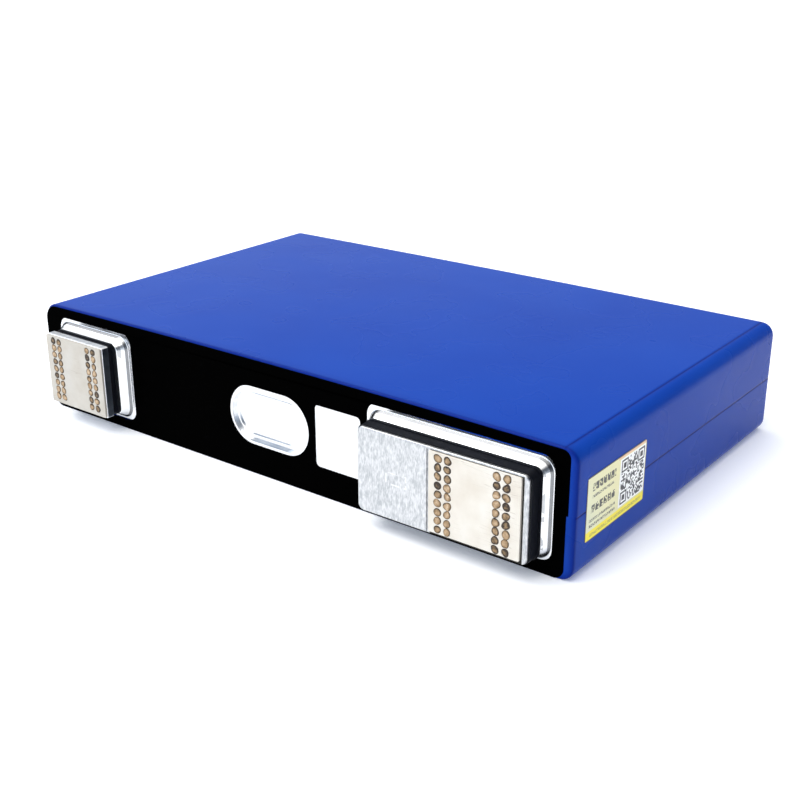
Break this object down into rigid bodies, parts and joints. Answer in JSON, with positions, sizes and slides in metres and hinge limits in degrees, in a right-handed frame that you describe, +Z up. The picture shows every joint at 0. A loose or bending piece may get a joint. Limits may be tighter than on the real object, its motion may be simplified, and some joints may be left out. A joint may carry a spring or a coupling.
{
  "type": "prismatic battery cell",
  "caption": "Flat prismatic lithium cell in an aluminium can with a film wrap, two raised weld terminals, an obround burst vent and a side label.",
  "frame": {"origin": "middle of the bottom of the bounding box, with the cell lying on a large face", "axes": "X along the width, +Z up through the thickness, the lid and terminals face -Y"},
  "size_m": [0.1481, 0.0974, 0.0265],
  "materials": {
    "can_metal": "mill finish",
    "lid_metal": "bright rolled",
    "vent_metal": "bright rolled",
    "terminal_metal": "brushed",
    "weld_plate": "matt nickel plate",
    "nugget": "heat-tinted weld spots",
    "copper": "plain copper",
    "black_plastic": "moulded",
    "black_film": "semi-gloss film",
    "blue_film": "semi-gloss film",
    "label": "satin print",
    "seal_rubber": "matt",
    "inner_plastic": "natural polypropylene",
    "winding": "wound foil and separator"
  },
  "bodies": {
    "root": {"can": "can_metal", "cap_plate": "lid_metal", "vent_disc": "vent_metal", "fill_plug": "seal_rubber", "fill_cap": "lid_metal", "lid_film": "black_film", "wrap_film": "blue_film", "side_label": "label", "insulator_left": "black_plastic", "insulator_right": "black_plastic", "terminal_block_left": "terminal_metal", "terminal_plate_right": "terminal_metal", "weld_plate_left": "weld_plate", "weld_plate_right": "weld_plate", "weld_nuggets_left": "nugget", "weld_nuggets_right": "nugget", "post_left": "copper", "post_right": "can_metal", "seal_left": "seal_rubber", "seal_right": "seal_rubber", "safety_disc": "vent_metal", "lower_insulator_left": "inner_plastic", "lower_insulator_right": "inner_plastic", "collector_left": "copper", "collector_right": "can_metal", "tabs_left": "copper", "tabs_right": "can_metal", "roll_lower": "winding", "roll_upper": "winding", "insulation_bag": "inner_plastic", "end_spacer": "inner_plastic", "vent_guard": "inner_plastic"}
  },
  "joints": []
}
